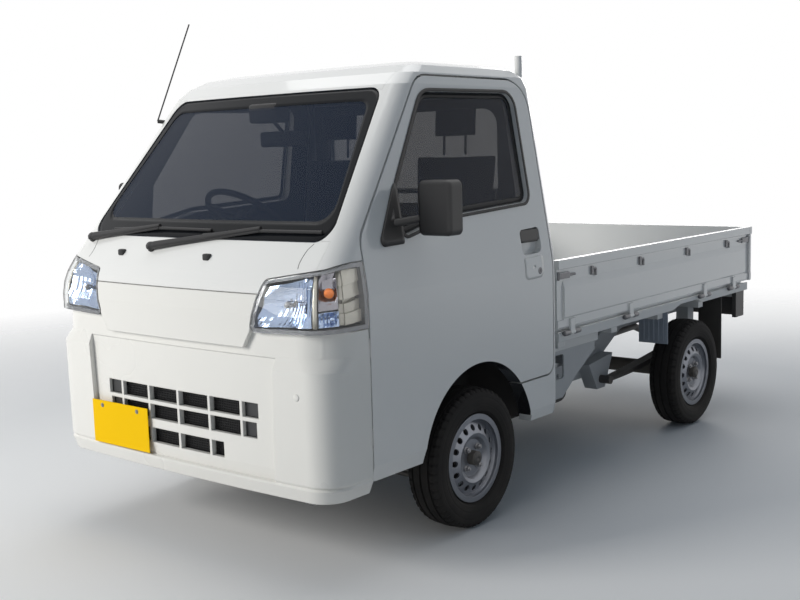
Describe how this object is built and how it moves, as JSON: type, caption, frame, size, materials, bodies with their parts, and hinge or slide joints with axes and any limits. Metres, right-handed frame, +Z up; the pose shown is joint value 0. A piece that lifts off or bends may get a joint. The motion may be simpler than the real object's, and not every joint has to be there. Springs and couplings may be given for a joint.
{
  "type": "kei flat-bed truck",
  "caption": "Small white cab-over flat-bed truck with drop-down side gates and tailgate, steel wheels and wrap-round headlamps.",
  "frame": {"origin": "on the ground, at the middle of the vehicle's length and width", "axes": "+Z up, the front faces -Y, +X is the vehicle's left"},
  "size_m": [1.784, 3.395, 1.9692],
  "materials": {
    "white_paint": "gloss",
    "bumper_plastic": "gloss",
    "black_plastic": "matte",
    "grey_plastic": "matte",
    "frame_paint": "satin",
    "grey_paint": "satin",
    "glass": "polished",
    "lamp_lens": "polished",
    "red_lens": "gloss",
    "silver_steel": "satin",
    "steel": "satin",
    "cast": "rough",
    "engine": "satin",
    "tyre": "matte",
    "rubber": "matte",
    "seat_cloth": "matte",
    "plate": "satin"
  },
  "bodies": {
    "chassis": {"frame_rails": "frame_paint", "frame_crossmembers": "frame_paint", "cab_floor": "grey_paint", "cab_side_left": "white_paint", "cab_side_right": "white_paint", "cab_roof": "white_paint", "cab_back_panel": "white_paint", "cowl_panel": "white_paint", "front_bumper": "bumper_plastic", "windscreen": "glass", "rear_window": "glass", "headlamp_housings": "grey_plastic", "headlamp_lenses": "lamp_lens", "radiator": "engine", "dashboard": "grey_plastic", "seats": "seat_cloth", "steering_column": "black_plastic", "engine_block": "engine", "propeller_shaft": "steel", "fuel_tank": "black_plastic", "exhaust": "steel", "rear_axle": "cast", "leaf_springs": "steel", "front_suspension": "frame_paint", "coil_springs": "steel", "bed_floor": "grey_paint", "bed_headboard": "white_paint", "guard_frame": "white_paint", "rear_panel": "frame_paint", "tail_lamps": "red_lens", "mud_guards": "rubber", "wipers": "black_plastic", "door_hinges": "steel", "aerial": "black_plastic", "licence_plate": "plate"},
    "door_left": {"door_left": "white_paint", "door_glass_left": "glass", "mirror_left": "black_plastic"},
    "door_right": {"door_right": "white_paint", "door_glass_right": "glass", "mirror_right": "black_plastic"},
    "side_gate_left": {"side_gate_left": "white_paint"},
    "side_gate_right": {"side_gate_right": "white_paint"},
    "tailgate": {"tailgate": "white_paint"},
    "knuckle_left": {"knuckle_left": "cast"},
    "knuckle_right": {"knuckle_right": "cast"},
    "steering_wheel": {"steering_wheel": "black_plastic"},
    "steering_rack": {"steering_rack": "steel"},
    "wheel_front_left": {"wheel_front_left": "silver_steel", "tyre_front_left": "tyre"},
    "wheel_front_right": {"wheel_front_right": "silver_steel", "tyre_front_right": "tyre"},
    "wheel_rear_left": {"wheel_rear_left": "silver_steel", "tyre_rear_left": "tyre"},
    "wheel_rear_right": {"wheel_rear_right": "silver_steel", "tyre_rear_right": "tyre"}
  },
  "joints": [
    {"name": "steering", "type": "hinge", "parent": "chassis", "child": "steering_wheel", "pos_m": [-0.33, -1.0025, 1.16], "axis": [0, 0.6428, 0.766], "range_deg": [-612, 612]},
    {"name": "steer_left", "type": "hinge", "parent": "chassis", "child": "knuckle_left", "pos_m": [0.54, -0.8625, 0.266], "axis": [0, 0, 1], "range_deg": [-36, 36]},
    {"name": "steer_right", "type": "hinge", "parent": "chassis", "child": "knuckle_right", "pos_m": [-0.54, -0.8625, 0.266], "axis": [0, 0, 1], "range_deg": [-36, 36]},
    {"name": "rack_slide", "type": "slide", "parent": "chassis", "child": "steering_rack", "axis": [1, 0, 0], "range_m": [-0.06466, 0.06466]},
    {"name": "roll_front_left", "type": "hinge", "parent": "knuckle_left", "child": "wheel_front_left", "pos_m": [0.6525, -0.8625, 0.266], "axis": [1, 0, 0], "continuous": true},
    {"name": "roll_rear_left", "type": "hinge", "parent": "chassis", "child": "wheel_rear_left", "pos_m": [0.65, 1.0375, 0.266], "axis": [1, 0, 0], "continuous": true},
    {"name": "door_left_hinge", "type": "hinge", "parent": "chassis", "child": "door_left", "pos_m": [0.7352, -1.469, 0.8], "axis": [0, 0, -1], "range_deg": [0, 66]},
    {"name": "gate_left_hinge", "type": "hinge", "parent": "chassis", "child": "side_gate_left", "pos_m": [0.727, 0.6875, 0.65], "axis": [0, 1, 0], "range_deg": [0, 165]},
    {"name": "roll_front_right", "type": "hinge", "parent": "knuckle_right", "child": "wheel_front_right", "pos_m": [-0.6525, -0.8625, 0.266], "axis": [1, 0, 0], "continuous": true},
    {"name": "roll_rear_right", "type": "hinge", "parent": "chassis", "child": "wheel_rear_right", "pos_m": [-0.65, 1.0375, 0.266], "axis": [1, 0, 0], "continuous": true},
    {"name": "door_right_hinge", "type": "hinge", "parent": "chassis", "child": "door_right", "pos_m": [-0.7352, -1.469, 0.8], "axis": [0, 0, 1], "range_deg": [0, 66]},
    {"name": "gate_right_hinge", "type": "hinge", "parent": "chassis", "child": "side_gate_right", "pos_m": [-0.727, 0.6875, 0.65], "axis": [0, -1, 0], "range_deg": [0, 165]},
    {"name": "tailgate_hinge", "type": "hinge", "parent": "chassis", "child": "tailgate", "pos_m": [0, 1.6885, 0.65], "axis": [-1, 0, 0], "range_deg": [0, 165]}
  ],
  "couplings": [
    {"joint": "steer_left", "follows": "steering", "ratio": 0.058824},
    {"joint": "steer_right", "follows": "steering", "ratio": 0.058824},
    {"joint": "rack_slide", "follows": "steering", "m_per_rad": 0.0060532}
  ]
}
